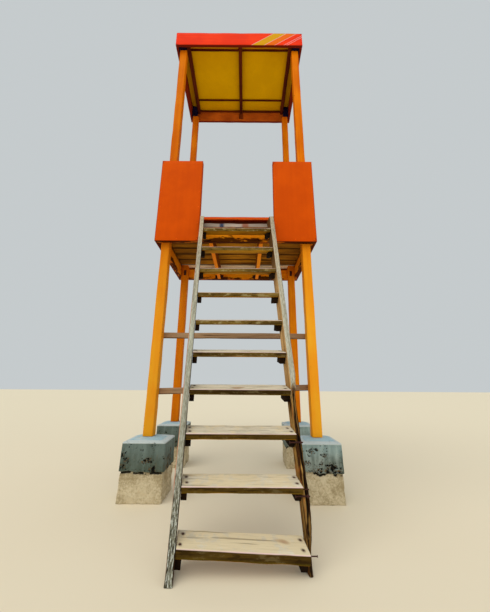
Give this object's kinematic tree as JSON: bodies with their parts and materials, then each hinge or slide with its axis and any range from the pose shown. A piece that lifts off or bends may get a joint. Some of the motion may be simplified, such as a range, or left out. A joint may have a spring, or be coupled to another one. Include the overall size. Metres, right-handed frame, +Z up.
{
  "type": "lifeguard tower",
  "caption": "Open timber lifeguard tower on concrete footings, with a boxed platform, a flat roof on tall posts and a steep worn ladder at the front.",
  "frame": {"origin": "middle of the whole part's footprint, ladder included, at the level where the ladder foot meets the ground", "axes": "+X to the right seen from the ladder side, +Y from the ladder to the back of the tower, +Z up"},
  "size_m": [1.85, 2.2076, 5.48],
  "materials": {
    "footing_concrete": "painted concrete, chipped and pitted",
    "post_paint": "orange paint, worn",
    "panel_paint": "orange-red paint",
    "soffit_paint": "ochre, matt",
    "dark_paint": "dark paint, matt",
    "roof_timber": "brown stain",
    "deck_timber": "bare, weathered",
    "bare_timber": "bare, grey, split and sandy"
  },
  "bodies": {
    "root": {"footing_front_left": "footing_concrete", "footing_front_right": "footing_concrete", "footing_back_left": "footing_concrete", "footing_back_right": "footing_concrete", "post_front_left": "post_paint", "post_front_right": "post_paint", "post_back_left": "post_paint", "post_back_right": "post_paint", "beam_front": "post_paint", "beam_back": "post_paint", "beam_left": "post_paint", "beam_right": "post_paint", "joists": "post_paint", "deck": "deck_timber", "panel_front_left": "panel_paint", "panel_front_right": "panel_paint", "panel_back": "panel_paint", "panel_left": "panel_paint", "panel_right": "panel_paint", "rails_front_back": "panel_paint", "rails_side": "panel_paint", "studs": "panel_paint", "brace_upper": "bare_timber", "brace_lower": "bare_timber", "stringer_left": "bare_timber", "stringer_right": "bare_timber", "tread_01": "bare_timber", "tread_02": "bare_timber", "tread_03": "bare_timber", "tread_04": "bare_timber", "tread_05": "bare_timber", "tread_06": "bare_timber", "tread_07": "bare_timber", "tread_08": "bare_timber", "tread_09": "bare_timber", "tread_10": "bare_timber", "cleats": "deck_timber", "head_blocks": "dark_paint", "fascia_front": "panel_paint", "fascia_back": "panel_paint", "fascia_left": "panel_paint", "fascia_right": "panel_paint", "rafters": "roof_timber", "battens": "roof_timber", "roof_board": "soffit_paint"}
  },
  "joints": []
}
